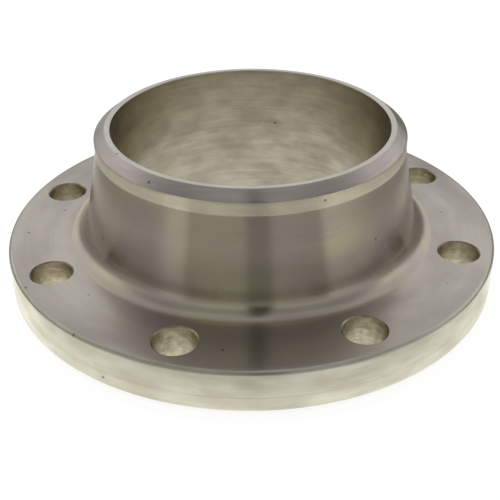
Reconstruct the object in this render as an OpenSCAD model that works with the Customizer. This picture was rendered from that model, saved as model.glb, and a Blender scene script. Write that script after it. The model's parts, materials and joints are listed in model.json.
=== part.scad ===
// Weld neck flange with a raised face, machined all over from one forging.
//
// The flange stands on its raised face: the origin is the centre of that face,
// +Z runs up the bore to the weld end, and the bolt holes straddle the X and Y axes.
// The sizes are those of a 6 inch, class 150 pipe flange for a standard-weight pipe wall.

/* [Flange plate] */
// Outside diameter of the plate
plate_d = 279.4; // [265:0.1:340]
// Thickness of the plate between its two faces, without the raised face
plate_t = 23.8; // [16:0.1:32]
// Radius of the plate's two rounded outer edges
plate_edge_r = 2; // [0.5:0.1:4]

/* [Raised face] */
// Diameter of the raised gasket face
face_d = 215.9; // [190:0.1:217]
// Height of the raised gasket face above the plate
face_h = 1.6; // [0.8:0.1:7]
// Width of the small chamfer around the raised face
face_chamfer = 0.4; // [0.1:0.1:0.7]

/* [Hub] */
// Diameter of the hub where its taper meets the plate, before the fillet
hub_base_d = 192; // [178:0.1:200]
// Outside diameter of the straight band at the weld end
weld_end_d = 172.3; // [167:0.1:177]
// Length through the whole flange, from raised face to weld end
length_through_hub = 88.9; // [74:0.1:130]
// Radius of the fillet between the hub and the plate
hub_fillet_r = 10; // [3:0.5:11]

/* [Weld preparation] */
// Length of the straight band under the bevel
band_h = 7.6; // [3:0.1:12]
// Width of the flat root face that butts against the pipe
root_face_w = 3.1; // [1.6:0.1:4]
// Angle of the bevel, up from the plane of the root face
bevel_angle = 37.5; // [30:0.5:45]

/* [Bore] */
// Diameter of the bore, which matches the inside of the pipe
bore_d = 154.1; // [128:0.1:158]
// Width of the chamfer that breaks the bore's two edges
bore_chamfer = 0.4; // [0.2:0.1:0.8]

/* [Bolt holes] */
// Number of bolt holes
bolt_count = 8; // [4:4:12]
// Diameter of the circle through the bolt hole centres
bolt_circle_d = 241.3; // [238:0.1:243]
// Diameter of each bolt hole
bolt_hole_d = 22.2; // [16:0.1:23.6]
// Width of the chamfer around each end of a bolt hole
bolt_chamfer = 0.7; // [0.2:0.1:1]

/* [Hidden] */
$fn = 180;
// Cuts run this far past the faces they break through, which is too little for the
// chamfer of a bolt hole to reach the raised face
overrun = 0.1;

plate_r = plate_d / 2;
plate_top = face_h + plate_t;
edge_r = min(plate_edge_r, plate_t / 2);
hub_base_r = hub_base_d / 2;
band_r = weld_end_d / 2;
bore_r = bore_d / 2;
root_r = bore_r + root_face_w;
bevel_h = max(band_r - root_r, 0) * tan(bevel_angle);
band_top = length_through_hub - bevel_h;
band_foot = band_top - band_h;
// Lean of the hub's side away from the axis
taper = atan((hub_base_r - band_r) / (band_foot - plate_top));
// From the corner between hub and plate to the fillet's two tangent points
fillet_reach = hub_fillet_r * tan(45 - taper / 2);
fillet_r = hub_base_r + fillet_reach;

// Half of the cross-section, from the axis out, with sharp outer edges and no fillet
module outline() {
    polygon([
        [0, 0],
        [face_d / 2 - face_chamfer, 0],
        [face_d / 2, face_chamfer],
        [face_d / 2, face_h],
        [plate_r, face_h],
        [plate_r, plate_top],
        [hub_base_r, plate_top],
        [band_r, band_foot],
        [band_r, band_top],
        [root_r, length_through_hub],
        [0, length_through_hub]
    ]);
}

// What rounding takes off an outer corner at x, y. The corner's metal lies towards
// the axis, and above it when up = 1 or below it when up = -1.
module corner_waste(x, y, up) {
    difference() {
        translate([x - edge_r, up > 0 ? y - overrun : y - edge_r])
            square([edge_r + overrun, edge_r + overrun]);
        translate([x - edge_r, y + up * edge_r])
            circle(r = edge_r);
    }
}

// The metal that the fillet adds in the corner between the plate and the tapered hub
module fillet_metal() {
    difference() {
        polygon([
            [hub_base_r - overrun, plate_top - overrun],
            [fillet_r, plate_top - overrun],
            [fillet_r, plate_top],
            [hub_base_r - fillet_reach * sin(taper), plate_top + fillet_reach * cos(taper)],
            [hub_base_r - overrun - fillet_reach * sin(taper), plate_top + fillet_reach * cos(taper)]
        ]);
        translate([fillet_r, plate_top + hub_fillet_r])
            circle(r = hub_fillet_r);
    }
}

module half_section() {
    difference() {
        outline();
        corner_waste(plate_r, plate_top, -1);
        corner_waste(plate_r, face_h, 1);
    }
    fillet_metal();
}

// A straight hole from one z to another, with a chamfer of width c opening at both ends
module chamfered_hole(r, z_from, z_to, c) {
    translate([0, 0, z_from - overrun])
        cylinder(r = r, h = z_to - z_from + 2 * overrun);
    translate([0, 0, z_from - overrun])
        cylinder(r1 = r + c + overrun, r2 = r, h = c + overrun);
    translate([0, 0, z_to - c])
        cylinder(r1 = r, r2 = r + c + overrun, h = c + overrun);
}

// The bolt holes, the first one half a pitch round from +X
module bolt_holes() {
    pitch = 360 / bolt_count;
    for (i = [0 : bolt_count - 1])
        rotate(pitch / 2 + i * pitch)
            translate([bolt_circle_d / 2, 0])
                chamfered_hole(bolt_hole_d / 2, face_h, plate_top, bolt_chamfer);
}

module flange_forging() {
    color("silver")
        difference() {
            rotate_extrude() half_section();
            chamfered_hole(bore_r, 0, length_through_hub, bore_chamfer);
            bolt_holes();
        }
}

flange_forging();
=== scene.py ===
import json
from math import atan, cos, pi, radians, sin, sqrt, tan

import bpy
from mathutils import Matrix, Vector


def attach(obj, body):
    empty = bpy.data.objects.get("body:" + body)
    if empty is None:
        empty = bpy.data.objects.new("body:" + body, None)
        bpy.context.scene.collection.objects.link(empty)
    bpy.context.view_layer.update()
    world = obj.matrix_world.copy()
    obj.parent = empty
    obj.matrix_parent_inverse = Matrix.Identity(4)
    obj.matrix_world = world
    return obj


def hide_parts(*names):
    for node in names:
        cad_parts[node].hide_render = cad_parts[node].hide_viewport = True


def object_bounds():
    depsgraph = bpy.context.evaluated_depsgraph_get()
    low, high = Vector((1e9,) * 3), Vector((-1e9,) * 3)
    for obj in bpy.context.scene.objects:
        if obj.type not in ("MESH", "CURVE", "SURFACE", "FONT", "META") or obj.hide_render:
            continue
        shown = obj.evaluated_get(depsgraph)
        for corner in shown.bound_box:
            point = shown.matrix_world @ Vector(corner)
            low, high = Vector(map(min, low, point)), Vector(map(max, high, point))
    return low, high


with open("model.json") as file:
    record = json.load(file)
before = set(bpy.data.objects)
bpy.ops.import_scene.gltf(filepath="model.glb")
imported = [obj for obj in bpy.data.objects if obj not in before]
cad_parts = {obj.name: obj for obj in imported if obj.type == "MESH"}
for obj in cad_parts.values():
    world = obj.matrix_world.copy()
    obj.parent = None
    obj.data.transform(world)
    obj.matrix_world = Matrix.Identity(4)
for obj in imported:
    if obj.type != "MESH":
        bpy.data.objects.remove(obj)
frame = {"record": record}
cad_low, cad_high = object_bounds()

# ---- Studio table --------------------------------------------------------------------
# A sheet of matt white laminate, lit until it is plain white. The flange stands on its
# raised face in the middle of it.


def linear(code):
    """An sRGB hex colour as the linear values that a shader takes."""
    parts = [int(code[i:i + 2], 16) / 255 for i in (0, 2, 4)]
    return tuple(p / 12.92 if p <= 0.04045 else ((p + 0.055) / 1.055) ** 2.4 for p in parts) + (1,)


def node(tree, kind, links=None, **settings):
    """Adds a node. A setting named in_X fills socket X and any other one sets a property;
    links maps a socket to the output that feeds it."""
    added = tree.nodes.new(kind)
    for name, value in settings.items():
        if name.startswith("in_"):
            key = name[3:]
            added.inputs[int(key) if key.isdigit() else key.replace("_", " ")].default_value = value
        else:
            setattr(added, name, value)
    for socket, source in (links or {}).items():
        tree.links.new(source, added.inputs[socket])
    return added


def empty_material(name):
    material = bpy.data.materials.new(name)
    material.use_nodes = True
    material.node_tree.nodes.clear()
    return material, material.node_tree


def staged(name, points, quads, material):
    """A piece of the studio, which is not part of the flange."""
    mesh = bpy.data.meshes.new(name)
    mesh.from_pydata(points, [], quads)
    mesh.materials.append(material)
    piece = bpy.data.objects.new(name, mesh)
    scene.collection.objects.link(piece)
    return piece


scene = bpy.context.scene
scene.view_settings.view_transform = "Standard"
laminate, tree = empty_material("matt white laminate")
glow = node(tree, "ShaderNodeEmission", in_Color=linear("FFFFFF"), in_Strength=0.85)
matt = node(tree, "ShaderNodeBsdfDiffuse", in_Color=linear("808080"))
lit = node(tree, "ShaderNodeAddShader", {0: glow.outputs[0], 1: matt.outputs[0]})
node(tree, "ShaderNodeOutputMaterial", {"Surface": lit.outputs[0]})
TABLE_HALF = 6.0
corners = [(x * TABLE_HALF, y * TABLE_HALF, 0) for x, y in ((-1, -1), (1, -1), (1, 1), (-1, 1))]
staged("studio_table", corners, [(0, 1, 2, 3)], laminate)

# ---- Camera --------------------------------------------------------------------------
# Stands about half a metre off and looks down on the flange by 32 degrees. Its place is
# told from the centre of the raised face.
MM = 0.001
away, eye_height = 450.2 * MM, 285.6 * MM
to_the_left, heading = radians(4.57), radians(4.46)
dip, roll = radians(31.98), radians(-0.53)
camera_data = bpy.data.cameras.new("camera")
camera_data.sensor_width = 36
camera_data.lens = 63.44
camera = bpy.data.objects.new("camera", camera_data)
scene.collection.objects.link(camera)
scene.camera = camera
ahead = Vector((sin(heading) * cos(dip), cos(heading) * cos(dip), -sin(dip)))
level = Vector((cos(heading), -sin(heading), 0))
upward = level.cross(ahead)
right = level * cos(roll) + upward * sin(roll)
top = upward * cos(roll) - level * sin(roll)
stand = Vector((-away * sin(to_the_left), -away * cos(to_the_left), eye_height))
camera.matrix_world = Matrix.Translation(stand) @ Matrix((right, top, -ahead)).transposed().to_4x4()

# ---- Light ---------------------------------------------------------------------------
# A studio with a lit white backdrop behind the flange, dim overhead and darker on the
# camera's side. A wide lamp whitens the table and leaves no reflection of itself.


def fill_ramp(ramp, stops):
    """Sets a colour ramp to grey stops, each a position and a brightness."""
    points = ramp.color_ramp.elements
    while len(points) < len(stops):
        points.new(1.0)
    for point, (position, brightness) in zip(points, stops):
        point.position = position
        point.color = (brightness, brightness, brightness, 1)


# Brightness by the sine of the height, from the horizon to overhead: the studio's far side,
# the camera's side, and the part between, told by how far a direction leans to the camera
BACK = ((0.0, 0.50), (0.25, 0.62), (0.40, 0.78), (0.57, 0.74), (0.68, 0.56), (0.85, 0.47), (0.95, 0.34),
        (1.0, 0.38))
FRONT = ((0.0, 0.44), (0.40, 0.46), (0.60, 0.34), (0.72, 0.27), (0.84, 0.26), (0.93, 0.40), (1.0, 0.40))
BACK_ENDS, FRONT_STARTS = -0.28, 0.12
to_camera = Vector((-sin(to_the_left), -cos(to_the_left), 0))
world = bpy.data.worlds.new("studio")
scene.world = world
world.use_nodes = True
tree = world.node_tree
tree.nodes.clear()
where = node(tree, "ShaderNodeTexCoord")
axes = node(tree, "ShaderNodeSeparateXYZ", {0: where.outputs["Generated"]})
behind = node(tree, "ShaderNodeValToRGB", {0: axes.outputs["Z"]})
fill_ramp(behind, BACK)
before = node(tree, "ShaderNodeValToRGB", {0: axes.outputs["Z"]})
fill_ramp(before, FRONT)
facing = node(tree, "ShaderNodeVectorMath", {0: where.outputs["Generated"]}, operation="DOT_PRODUCT",
              in_1=to_camera)
half = node(tree, "ShaderNodeMapRange", {0: facing.outputs["Value"]}, interpolation_type="SMOOTHSTEP",
            in_From_Min=BACK_ENDS, in_From_Max=FRONT_STARTS)
room = node(tree, "ShaderNodeMix", {0: half.outputs[0], 6: behind.outputs[0], 7: before.outputs[0]},
            data_type="RGBA")
studio = node(tree, "ShaderNodeBackground", {"Color": room.outputs[2]}, in_Strength=1.0)
# From low down the eye meets a white sweep past the table's edge, not the dim studio
sweep = node(tree, "ShaderNodeBackground", in_Color=linear("FFFFFF"), in_Strength=1.0)
looking = node(tree, "ShaderNodeLightPath")
seen = node(tree, "ShaderNodeMixShader",
            {0: looking.outputs["Is Camera Ray"], 1: studio.outputs[0], 2: sweep.outputs[0]})
node(tree, "ShaderNodeOutputWorld", {"Surface": seen.outputs[0]})

lamp_data = bpy.data.lights.new("table_lamp", "AREA")
lamp_data.shape = "DISK"
lamp_data.size = 3.0
lamp_data.energy = 34
lamp = bpy.data.objects.new("table_lamp", lamp_data)
lamp.location = (0, 0.2, 2.2)
lamp.visible_glossy = False
lamp.visible_camera = False
scene.collection.objects.link(lamp)

# ---- Light tent ----------------------------------------------------------------------
# A low round tent of white card that only the metal's reflections see: a bright sheet
# close round the plate, a grey one further out, and a wall with two brighter panels and
# a dark gap where the camera looks in.
TENT_R, TENT_H = 0.30, 0.10
TENT_FOOT = 0.5 * MM
TENT_STEPS = 96
# Brightness by distance from the axis, in metres
SHEET = ((0.115, 1.25), (0.140, 1.25), (0.151, 1.16), (0.155, 0.94), (0.175, 0.90), (0.195, 0.76),
         (0.236, 0.72), (0.246, 0.23), (0.290, 0.27), (0.300, 0.34))
# Brightness by degrees round the axis, counted from the camera's side to the right: close
# to the plate, and beyond
NEAR_ENDS, BEYOND_STARTS = 0.168, 0.200
NEAR = ((-180, 1.0), (-100, 0.9), (-87, 1.25), (-60, 1.05), (-45, 0.95), (-10, 0.92), (-5, 0.80),
        (4, 0.80), (9, 0.93), (45, 0.86), (65, 0.95), (72, 1.3), (100, 1.3), (140, 1.0),
        (180, 1.0))
PANELS = ((-180, 0.8), (-145, 1.3), (-128, 0.75), (-84, 0.88), (-60, 0.98), (-50, 1.50), (-43, 1.45),
          (-40.5, 1.25), (-39.5, 0.86), (-35, 0.98), (-9, 0.98), (-6, 0.66), (5, 0.66), (8, 1.08),
          (35.5, 0.85), (37.5, 1.6), (50, 1.45), (75, 0.88), (100, 0.75), (112, 0.60), (140, 0.50),
          (180, 0.8))
card, tree = empty_material("tent card")
place = node(tree, "ShaderNodeNewGeometry")
axes = node(tree, "ShaderNodeSeparateXYZ", {0: place.outputs["Position"]})
flat = node(tree, "ShaderNodeCombineXYZ", {"X": axes.outputs["X"], "Y": axes.outputs["Y"]})
out = node(tree, "ShaderNodeVectorMath", {0: flat.outputs[0]}, operation="LENGTH")
sheet_inner = SHEET[0][0]
share = node(tree, "ShaderNodeMapRange", {0: out.outputs["Value"]}, in_From_Min=sheet_inner,
             in_From_Max=TENT_R)
sheet = node(tree, "ShaderNodeValToRGB", {0: share.outputs[0]})
fill_ramp(sheet, [((r - sheet_inner) / (TENT_R - sheet_inner), v) for r, v in SHEET])
front = node(tree, "ShaderNodeMath", {0: axes.outputs["Y"]}, operation="MULTIPLY", in_1=-1)
angle = node(tree, "ShaderNodeMath", {0: axes.outputs["X"], 1: front.outputs[0]}, operation="ARCTAN2")
turn = node(tree, "ShaderNodeMapRange", {0: angle.outputs[0]}, in_From_Min=-pi, in_From_Max=pi)
panels = node(tree, "ShaderNodeValToRGB", {0: turn.outputs[0]})
fill_ramp(panels, [((degrees + 180) / 360, v) for degrees, v in PANELS])
close = node(tree, "ShaderNodeValToRGB", {0: turn.outputs[0]})
fill_ramp(close, [((degrees + 180) / 360, v) for degrees, v in NEAR])
far = node(tree, "ShaderNodeMapRange", {0: out.outputs["Value"]}, in_From_Min=NEAR_ENDS,
           in_From_Max=BEYOND_STARTS)
local = node(tree, "ShaderNodeMix", {0: far.outputs[0], 6: close.outputs[0], 7: panels.outputs[0]},
             data_type="RGBA")
tone = node(tree, "ShaderNodeMix", {6: sheet.outputs[0], 7: local.outputs[2]}, data_type="RGBA",
            blend_type="MULTIPLY", in_0=1.0)
warm = node(tree, "ShaderNodeMix", {6: tone.outputs[2]}, data_type="RGBA", blend_type="MULTIPLY",
            in_0=1.0, in_7=linear("FFFDF4"))
glow = node(tree, "ShaderNodeEmission", {"Color": warm.outputs[2]}, in_Strength=1.0)
node(tree, "ShaderNodeOutputMaterial", {"Surface": glow.outputs[0]})
points = []
for r, z in ((sheet_inner, TENT_FOOT), (TENT_R, TENT_FOOT), (TENT_R, TENT_H)):
    turns = [2 * pi * i / TENT_STEPS for i in range(TENT_STEPS)]
    points += [(r * cos(a), r * sin(a), z) for a in turns]
quads = [
    (k + i, k + (i + 1) % TENT_STEPS, k + TENT_STEPS + (i + 1) % TENT_STEPS, k + TENT_STEPS + i)
    for k in (0, TENT_STEPS) for i in range(TENT_STEPS)
]
tent = staged("light_tent", points, quads, card)

# The camera on its stand shows in the metal as a dark upright stripe
STAND_HALF, STAND_H = radians(6.5), 1.2
black, tree = empty_material("black camera stand")
glow = node(tree, "ShaderNodeEmission", in_Color=linear("FFFFFF"), in_Strength=0.05)
node(tree, "ShaderNodeOutputMaterial", {"Surface": glow.outputs[0]})
points = [(TENT_R * sin(side * STAND_HALF), -TENT_R * cos(side * STAND_HALF), z)
          for z in (TENT_H, STAND_H) for side in (-1, 1)]
camera_stand = staged("camera_stand", points, [(0, 1, 3, 2)], black)
for piece in (tent, camera_stand):
    piece.visible_camera = False
    piece.visible_diffuse = False
    piece.visible_transmission = False
    piece.visible_shadow = False

# ---- Neck ----------------------------------------------------------------------------
# The tapered hub that rises from the plate, and the fillet at its foot. It is forged in
# one with the plate from stainless steel and turned all round with a round-nosed tool.
record = frame["record"]
mounts = {mount["name"]: mount for mount in record["mounts"]}
length = cad_high.z
bore_r = mounts["bore"]["dims"]["r_mm"] * MM
plate_top = mounts["nut_face"]["pos_m"][2]
hub_base_r = 96.0 * MM
band_r = 86.15 * MM
band_h = 7.6 * MM
root_w = 3.1 * MM
bevel_angle = radians(37.5)
fillet_r = 10.0 * MM

root_r = bore_r + root_w
band_top = length - (band_r - root_r) * tan(bevel_angle)
band_foot = band_top - band_h
taper = atan((hub_base_r - band_r) / (band_foot - plate_top))
fillet_foot = hub_base_r + fillet_r * tan(pi / 4 - taper / 2)

STEPS_ROUND = 320
verts = []
faces = []
face_finish = []
finishes = []
rings = []
path = []


def ring(r, z):
    """A level ring of points round the axis."""
    start = len(verts)
    for i in range(STEPS_ROUND):
        a = 2 * pi * i / STEPS_ROUND
        verts.append((r * cos(a), r * sin(a), z))
    return range(start, start + STEPS_ROUND)


def strip(a, b):
    """Quads between two closed rows of points, in the newest finish."""
    for i in range(len(a)):
        j = (i + 1) % len(a)
        faces.append((a[i], a[j], b[j], b[i]))
        face_finish.append(len(finishes) - 1)


def turned(outline):
    """Goes on from the last ring along an outline of (radius, height) points."""
    for point in outline:
        path.append(point)
        rings.append(ring(*point))
        if len(rings) > 1:
            strip(rings[-2], rings[-1])


def arc(centre, r, start, end, steps):
    """A round stretch of an outline."""
    turns = [start + (end - start) * i / steps for i in range(steps + 1)]
    return [(centre[0] + r * cos(a), centre[1] + r * sin(a)) for a in turns]


def straight(a, b, steps):
    """The points between a and b, with b."""
    return [(a[0] + (b[0] - a[0]) * i / steps, a[1] + (b[1] - a[1]) * i / steps)
            for i in range(1, steps + 1)]


def broken_edge(before, corner, after, size, steps=3):
    """A corner of an outline that has been eased by a file."""
    before, corner, after = Vector(before), Vector(corner), Vector(after)
    a = corner + (before - corner).normalized() * size
    b = corner + (after - corner).normalized() * size
    eased = []
    for i in range(steps + 1):
        t = i / steps
        eased.append(tuple(a.lerp(corner, t).lerp(corner.lerp(b, t), t)))
    return eased


def lathe_place(tree, pitch, arc_length):
    """Texture space drawn out round the axis: one unit is a pitch across the tool marks and
    arc_length along them."""
    place = node(tree, "ShaderNodeTexCoord")
    flat = node(tree, "ShaderNodeVectorMath", {0: place.outputs["Object"]}, operation="MULTIPLY",
                in_1=(1, 1, 0))
    out = node(tree, "ShaderNodeVectorMath", {0: flat.outputs[0]}, operation="LENGTH")
    unit = node(tree, "ShaderNodeVectorMath", {0: flat.outputs[0]}, operation="NORMALIZE")
    round_the_axis = node(tree, "ShaderNodeVectorMath", {0: unit.outputs[0]}, operation="SCALE",
                          in_Scale=hub_base_r / arc_length)
    axes = node(tree, "ShaderNodeSeparateXYZ", {0: place.outputs["Object"]})
    across = node(tree, "ShaderNodeMath", {0: out.outputs["Value"], 1: axes.outputs["Z"]},
                  operation="SUBTRACT")
    rows = node(tree, "ShaderNodeMath", {0: across.outputs[0]}, operation="DIVIDE", in_1=pitch)
    lifted = node(tree, "ShaderNodeCombineXYZ", {"Z": rows.outputs[0]})
    both = node(tree, "ShaderNodeVectorMath", {0: round_the_axis.outputs[0], 1: lifted.outputs[0]},
                operation="ADD")
    return both.outputs[0]


PIT_SPACING = 18 * MM
PIT_R, PIT_CORE_R = 1.1 * MM, 0.5 * MM
ROUGHNESS_SPREAD = 0.03
WAVE_DEPTH = 0.05 * MM


def turned_steel(name, plain, stained, streaked, streaks, roughness, grooves, pitch, arc_length, depth,
                 cloud, cloud_length):
    """Stainless steel as it comes off a lathe: grooves round the axis that stretch each
    reflection across them, a cloudy stain from the coolant, a few small dark pits, and a
    faint waviness. The real feed of 0.25 mm is too fine to show, so the tool marks are
    drawn a pitch of about a millimetre apart."""
    # Noise lies mostly between 0.3 and 0.7, and each range below picks its part of that
    material, tree = empty_material(name)
    marks = node(tree, "ShaderNodeTexNoise", {0: lathe_place(tree, pitch, arc_length)}, in_Scale=1.0,
                 in_Detail=3.0, in_Roughness=0.6)
    clouds = node(tree, "ShaderNodeTexNoise", {0: lathe_place(tree, cloud, cloud_length)}, in_Scale=1.0,
                  in_Detail=3.0)
    stain = node(tree, "ShaderNodeMapRange", {0: clouds.outputs[0]}, interpolation_type="SMOOTHSTEP",
                 in_From_Min=0.25, in_From_Max=0.75)
    body = node(tree, "ShaderNodeMix", {0: stain.outputs[0]}, data_type="RGBA", in_6=linear(plain),
                in_7=linear(stained))
    line = node(tree, "ShaderNodeMapRange", {0: marks.outputs[0]}, in_From_Min=0.58, in_From_Max=0.36,
                in_To_Max=streaks)
    colour = node(tree, "ShaderNodeMix", {0: line.outputs[0], 6: body.outputs[2]}, data_type="RGBA",
                  in_7=linear(streaked))
    speck = node(tree, "ShaderNodeTexVoronoi", {0: node(tree, "ShaderNodeTexCoord").outputs["Object"]},
                 in_Scale=1 / PIT_SPACING)
    pit = node(tree, "ShaderNodeMapRange", {0: speck.outputs["Distance"]}, in_From_Min=PIT_R / PIT_SPACING,
               in_From_Max=PIT_CORE_R / PIT_SPACING, in_To_Max=0.7)
    pitted = node(tree, "ShaderNodeMix", {0: pit.outputs[0], 6: colour.outputs[2]}, data_type="RGBA",
                  in_7=linear("4E4436"))
    rough = node(tree, "ShaderNodeMapRange", {0: clouds.outputs[0]}, in_From_Min=0.3, in_From_Max=0.7,
                 in_To_Min=roughness - ROUGHNESS_SPREAD, in_To_Max=roughness + ROUGHNESS_SPREAD)
    wave = node(tree, "ShaderNodeBump", {"Height": clouds.outputs[0]}, in_Strength=0.3,
                in_Distance=WAVE_DEPTH)
    relief = node(tree, "ShaderNodeBump", {"Height": marks.outputs[0], "Normal": wave.outputs[0]},
                  in_Strength=0.6, in_Distance=depth)
    round_the_axis = node(tree, "ShaderNodeTangent", direction_type="RADIAL", axis="Z")
    metal = node(tree, "ShaderNodeBsdfPrincipled",
                 {"Base Color": pitted.outputs[2], "Roughness": rough.outputs[0],
                  "Normal": relief.outputs[0], "Tangent": round_the_axis.outputs[0]},
                 in_Metallic=1.0, in_Anisotropic=grooves, in_Anisotropic_Rotation=0.25)
    node(tree, "ShaderNodeOutputMaterial", {"Surface": metal.outputs[0]})
    return material


# A satin turned finish: soft grey with a khaki cast, its reflections smeared up and down
satin = turned_steel("satin turned stainless", "D0CAAF", "C5B9B4", "A39D90", streaks=0.12, roughness=0.24,
                     grooves=0.75, pitch=1.0 * MM, arc_length=45 * MM, depth=0.008 * MM, cloud=25 * MM,
                     cloud_length=40 * MM)
# Painted shade: the colour is darkened in a band just above the fillet, where the hub meets the plate,
# standing in for the dark reflection there
tree = satin.node_tree
metal = tree.nodes["Principled BSDF"]
place = node(tree, "ShaderNodeTexCoord")
axes = node(tree, "ShaderNodeSeparateXYZ", {0: place.outputs["Object"]})
foot_shade_h = 34 * MM
rise = node(tree, "ShaderNodeMapRange", {0: axes.outputs["Z"]}, in_From_Min=plate_top,
            in_From_Max=plate_top + foot_shade_h)
# Painted shade by height, darkest from about a third to two thirds of the way up the band
foot_shade_ramp = node(tree, "ShaderNodeValToRGB", {0: rise.outputs[0]})
fill_ramp(foot_shade_ramp, ((0.0, 0.98), (0.20, 0.97), (0.32, 0.76), (0.65, 0.74), (1.0, 0.97)))
even = metal.inputs["Base Color"].links[0].from_socket
# The painted shade is multiplied into the neck's colour
painted_foot_shade = node(tree, "ShaderNodeMix", {6: even, 7: foot_shade_ramp.outputs[0]}, data_type="RGBA",
              blend_type="MULTIPLY", in_0=1.0)
tree.links.new(painted_foot_shade.outputs[2], metal.inputs["Base Color"])
finishes.append(satin)
FILLET_STEPS, NECK_STEPS = 14, 12
NECK_EDGE = 0.5 * MM
turned(arc((fillet_foot, plate_top + fillet_r), fillet_r, -pi / 2, -pi + taper, FILLET_STEPS))
hub_head, band_end = (band_r, band_foot), (band_r, band_top)
eased = broken_edge(path[-1], hub_head, band_end, NECK_EDGE)
turned(straight(path[-1], eased[0], NECK_STEPS) + eased[1:])

# ---- Weld end ------------------------------------------------------------------------
# The straight band, the bevel that is filled when the flange is welded to its pipe, and
# the narrow flat root face inside it. Band and root face are turned last, with a sharp
# tool, and the bevel is ground.
EDGE, LIP_EDGE = 0.15 * MM, 0.1 * MM
BAND_STEPS, BEVEL_STEPS = 4, 4
# The band's fresh cut is paler and warmer than the neck, and blurs what it reflects more
finishes.append(turned_steel("fine turned stainless band", "DFDBC4", "D8D0C0", "B2AC99", streaks=0.2,
                             roughness=0.31, grooves=0.6, pitch=1.0 * MM, arc_length=30 * MM,
                             depth=0.006 * MM, cloud=4 * MM, cloud_length=12 * MM))
root_start = (root_r, length)
eased = broken_edge(hub_head, band_end, root_start, EDGE)
turned(straight(path[-1], eased[0], BAND_STEPS))
# The ground bevel is a cool pinkish grey with hardly a mark to be seen
finishes.append(turned_steel("ground stainless bevel", "C8C0BB", "BFB5B1", "A69E9A", streaks=0.15,
                             roughness=0.24, grooves=0.6, pitch=0.8 * MM, arc_length=30 * MM,
                             depth=0.005 * MM, cloud=6 * MM, cloud_length=20 * MM))
turned(eased[1:])
bore_edge = 0.4 * MM
lip = (bore_r + bore_edge, length)
eased = broken_edge(band_end, root_start, lip, EDGE)
turned(straight(path[-1], eased[0], BEVEL_STEPS))
# The root face is cut last, so it shows as a thin bright ring
finishes.append(turned_steel("bright stainless root face", "D3CFC6", "CAC6BC", "B5B0A5", streaks=0.15,
                             roughness=0.22, grooves=0.5, pitch=0.8 * MM, arc_length=30 * MM,
                             depth=0.004 * MM, cloud=6 * MM, cloud_length=20 * MM))
turned(eased[1:])
bore_top = (bore_r, length - bore_edge)
turned(broken_edge(root_start, lip, bore_top, LIP_EDGE))
turned(broken_edge(lip, bore_top, (bore_r, 0), LIP_EDGE))

# ---- Bore ----------------------------------------------------------------------------
# The straight hole through neck and plate, in line with the pipe. It is rough bored in
# one pass and left as it is, so it is duller and more patchy than the outside.
BORE_STEPS = 28
# Bored steel: khaki and blotchy, with level scores and soft dark ends to its reflections
finishes.append(turned_steel("bored stainless", "C1BBA6", "A9A18D", "857D6B", streaks=0.2,
                             roughness=0.31, grooves=0.75, pitch=1.3 * MM, arc_length=60 * MM,
                             depth=0.008 * MM, cloud=9 * MM, cloud_length=22 * MM))
turned(straight(path[-1], (bore_r, bore_edge), BORE_STEPS))
turned([(bore_r + bore_edge, 0)])

# ---- Gasket face ---------------------------------------------------------------------
# The raised face that seals on the gasket. A round-nosed tool cuts a shallow continuous
# groove into it; here the turns are rings, 0.8 mm apart.
groove_pitch = 0.8 * MM
tool_nose_r = 1.6 * MM
face_h = 1.6 * MM
face_edge = 0.4 * MM
face_r = 107.95 * MM
# The gasket face catches the light in fine rings, over an even grey
finishes.append(turned_steel("serrated stainless gasket face", "CBC6BC", "C2BAB2", "A8A196", streaks=0.15,
                             roughness=0.24, grooves=0.6, pitch=0.8 * MM, arc_length=60 * MM,
                             depth=0.004 * MM, cloud=20 * MM, cloud_length=40 * MM))
scallop = tool_nose_r - sqrt(tool_nose_r ** 2 - (groove_pitch / 2) ** 2)
face_in, face_out = bore_r + bore_edge, face_r - face_edge
grooves = int((face_out - face_in) / groove_pitch)
land = (face_out - face_in - grooves * groove_pitch) / 2
turned([(face_in + land, 0)])
for groove in range(grooves):
    crest = face_in + land + groove * groove_pitch
    for part in (1 / 3, 2 / 3):
        off = (part - 0.5) * groove_pitch
        cut = scallop - tool_nose_r + sqrt(tool_nose_r ** 2 - off ** 2)
        turned([(crest + part * groove_pitch, cut)])
    turned([(crest + groove_pitch, 0)])
turned([(face_out, 0), (face_r, face_edge), (face_r, face_h)])

# ---- Plate ---------------------------------------------------------------------------
# The round plate that is bolted to its mate. Both faces and the rim are turned, and the
# rim's two edges are rounded. The rim is turned from each side, and a faint step is left
# where the two passes meet.
plate_r = cad_high.x
plate_edge_r = 2.0 * MM
pass_end = 10.4 * MM
pass_step = 0.04 * MM
bolts = mounts["bolts"]["dims"]
bolt_circle_r = bolts["pcd_mm"] / 2 * MM
bolt_count = bolts["count"]
hole_r = bolts["hole_r_mm"] * MM
hole_edge = 0.7 * MM
STEPS_SECTOR = STEPS_ROUND // bolt_count
STEPS_SIDE = 12
HOLE_STEPS = 2 * (STEPS_SECTOR + STEPS_SIDE)
RINGS_TO_HOLE = 6
EDGE_STEPS = 8
FIRST_PASS_STEPS, SECOND_PASS_STEPS = 4, 6
top_inner, bottom_inner = rings[0], rings[-1]
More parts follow.
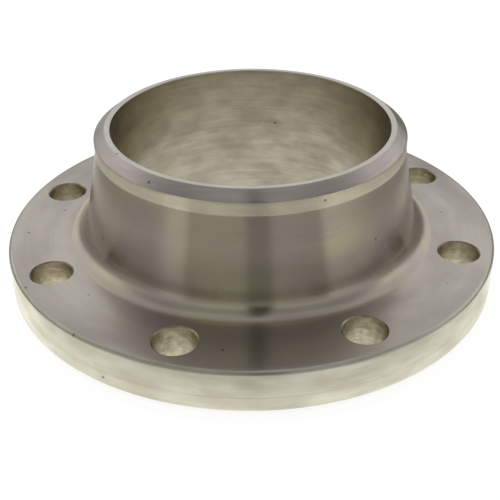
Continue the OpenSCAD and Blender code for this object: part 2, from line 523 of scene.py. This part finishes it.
# The rim is coarser turned and the palest part, with soft upright patches of grey
finishes.append(turned_steel("turned stainless rim", "D8D7CB", "BFBCAC", "B4AE9C", streaks=0.2,
                             roughness=0.34, grooves=0.5, pitch=1.4 * MM, arc_length=25 * MM,
                             depth=0.008 * MM, cloud=10 * MM, cloud_length=18 * MM))
rim = arc((plate_r - plate_edge_r, face_h + plate_edge_r), plate_edge_r, -pi / 2, 0, EDGE_STEPS)
rim += straight(rim[-1], (plate_r, pass_end), FIRST_PASS_STEPS)
rim.append((plate_r - pass_step, pass_end + pass_step))
rim += straight(rim[-1], (plate_r - pass_step, plate_top - plate_edge_r), SECOND_PASS_STEPS)
rim += arc((plate_r - plate_edge_r, plate_top - plate_edge_r), plate_edge_r - pass_step, 0, pi / 2,
           EDGE_STEPS)[1:]
rim_rings = [ring(*point) for point in rim]
for below, above in zip(rim_rings, rim_rings[1:]):
    strip(below, above)

# The plate is faced smooth: a neutral grey whose reflections fan out from the axis
finishes.append(turned_steel("faced stainless plate", "C9C3B8", "B3AAA6", "A8A19A", streaks=0.15,
                             roughness=0.24, grooves=0.8, pitch=1.0 * MM, arc_length=60 * MM,
                             depth=0.005 * MM, cloud=20 * MM, cloud_length=40 * MM))
side_rows = {}


def side_row(a, b):
    """The points on the line between two neighbouring sectors, made once."""
    if (a, b) not in side_rows:
        start = len(verts)
        for i in range(1, STEPS_SIDE):
            verts.append(tuple(Vector(verts[a]).lerp(Vector(verts[b]), i / STEPS_SIDE)))
        side_rows[a, b] = [a, *range(start, start + STEPS_SIDE - 1), b]
    return side_rows[a, b]


def hole_ring(number, r, z):
    """A ring round bolt hole number, whose points face those of its sector's outline."""
    middle = 2 * pi * (number + 0.5) / bolt_count
    turn = middle - pi * STEPS_SECTOR / HOLE_STEPS
    start = len(verts)
    for i in range(HOLE_STEPS):
        a = turn + 2 * pi * i / HOLE_STEPS
        x = bolt_circle_r * cos(middle) + r * cos(a)
        y = bolt_circle_r * sin(middle) + r * sin(a)
        verts.append((x, y, z))
    return range(start, start + HOLE_STEPS)


def face_sector(number, inner, outer, z, looks_up):
    """One sector of a flat face, in rows of quads from its outline in to the hole's edge."""
    steps = [(number * STEPS_SECTOR + i) % STEPS_ROUND for i in range(STEPS_SECTOR + 1)]
    low = side_row(inner[steps[0]], outer[steps[0]])
    high = side_row(inner[steps[-1]], outer[steps[-1]])
    outline = [outer[s] for s in steps[:-1]] + high[:0:-1]
    outline += [inner[s] for s in steps[:0:-1]] + low[:-1]
    edge = hole_ring(number, hole_r + hole_edge, z)
    rows = [outline]
    for k in range(1, RINGS_TO_HOLE):
        start = len(verts)
        for a, b in zip(outline, edge):
            verts.append(tuple(Vector(verts[a]).lerp(Vector(verts[b]), k / RINGS_TO_HOLE)))
        rows.append(range(start, start + HOLE_STEPS))
    rows.append(edge)
    for a, b in zip(rows, rows[1:]):
        strip(*((a, b) if looks_up else (b, a)))
    return edge


top_edges = [face_sector(n, top_inner, rim_rings[-1], plate_top, True) for n in range(bolt_count)]
bottom_edges = [face_sector(n, bottom_inner, rim_rings[0], face_h, False) for n in range(bolt_count)]

# ---- Bolt holes ----------------------------------------------------------------------
# Eight drilled holes on one circle, straddling the plate's axes, each with both edges
# broken by a small chamfer.
HOLE_LEVELS = 6
score_length, score_pitch = 9 * MM, 1.5 * MM
blotch_size = 4 * MM
# Drilled steel: dull and blotchy, scored by the drill's lips in level rings, which are
# drawn 1.5 mm apart as the real ones are too fine to show
drilled, tree = empty_material("drilled stainless")
place = node(tree, "ShaderNodeTexCoord")
level_space = node(tree, "ShaderNodeVectorMath", {0: place.outputs["Object"]}, operation="DIVIDE",
                   in_1=(score_length, score_length, score_pitch))
rings_cut = node(tree, "ShaderNodeTexNoise", {0: level_space.outputs[0]}, in_Scale=1.0, in_Detail=2.0)
blotch = node(tree, "ShaderNodeTexNoise", {0: place.outputs["Object"]}, in_Scale=1 / blotch_size,
              in_Detail=3.0)
dirt = node(tree, "ShaderNodeMapRange", {0: blotch.outputs[0]}, in_From_Min=0.36, in_From_Max=0.66)
body = node(tree, "ShaderNodeMix", {0: dirt.outputs[0]}, data_type="RGBA", in_6=linear("C6C0AD"),
            in_7=linear("A79F8B"))
line = node(tree, "ShaderNodeMapRange", {0: rings_cut.outputs[0]}, in_From_Min=0.45, in_From_Max=0.7,
            in_To_Max=0.6)
colour = node(tree, "ShaderNodeMix", {0: line.outputs[0], 6: body.outputs[2]}, data_type="RGBA",
              in_7=linear("8F8672"))
rough = node(tree, "ShaderNodeMapRange", {0: blotch.outputs[0]}, in_To_Min=0.29, in_To_Max=0.46)
relief = node(tree, "ShaderNodeBump", {"Height": rings_cut.outputs[0]}, in_Strength=0.6,
              in_Distance=0.05 * MM)
metal = node(tree, "ShaderNodeBsdfPrincipled",
             {"Base Color": colour.outputs[2], "Roughness": rough.outputs[0], "Normal": relief.outputs[0]},
             in_Metallic=1.0)
node(tree, "ShaderNodeOutputMaterial", {"Surface": metal.outputs[0]})
finishes.append(drilled)
drop = (plate_top - face_h - 2 * hole_edge) / HOLE_LEVELS
for number in range(bolt_count):
    levels = [plate_top - hole_edge - drop * i for i in range(HOLE_LEVELS + 1)]
    wall = [top_edges[number]] + [hole_ring(number, hole_r, z) for z in levels] + [bottom_edges[number]]
    for a, b in zip(wall, wall[1:]):
        strip(a, b)

# ---- The forging in one piece --------------------------------------------------------
# All the surfaces above close round one solid. The flange is a single stainless steel
# forging, machined all over, with nothing fitted to it, so it is one piece here too.
mesh = bpy.data.meshes.new("flange_forging_turned")
mesh.from_pydata(verts, [], faces)
for finish in finishes:
    mesh.materials.append(finish)
mesh.polygons.foreach_set("material_index", face_finish)
mesh.polygons.foreach_set("use_smooth", [True] * len(faces))
mesh.set_sharp_from_angle(angle=radians(30))
mesh.update()
forging = bpy.data.objects.new("flange_forging_turned", mesh)
scene.collection.objects.link(forging)
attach(forging, "root")
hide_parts("flange_forging")
